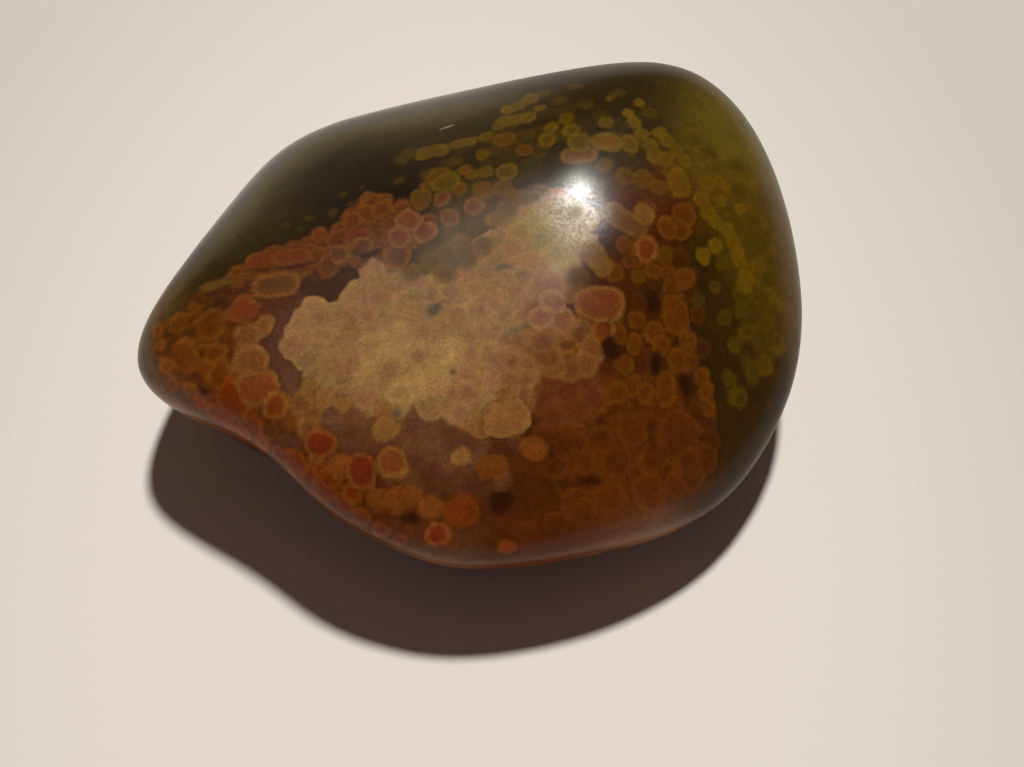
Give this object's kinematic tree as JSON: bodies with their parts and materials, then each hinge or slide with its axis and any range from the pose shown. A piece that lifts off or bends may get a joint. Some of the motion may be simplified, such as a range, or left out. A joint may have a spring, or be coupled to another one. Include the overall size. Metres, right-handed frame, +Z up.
{
  "type": "tumbled stone",
  "caption": "Tumbled and polished pebble of orb-patterned jasper with a blunt round end, a narrow tip and a small flat spot to rest on.",
  "frame": {"origin": "middle of the stone's length and width, on the surface that it rests on", "axes": "+X along its length towards the blunt round end, the narrow tip towards -X, -Y towards the low front edge, +Z up"},
  "size_m": [0.028, 0.023, 0.0112],
  "materials": {
    "polished_stone": "tumble polished, brown with tan, orange and olive orbs"
  },
  "bodies": {
    "root": {"tumbled_stone": "polished_stone"}
  },
  "joints": []
}
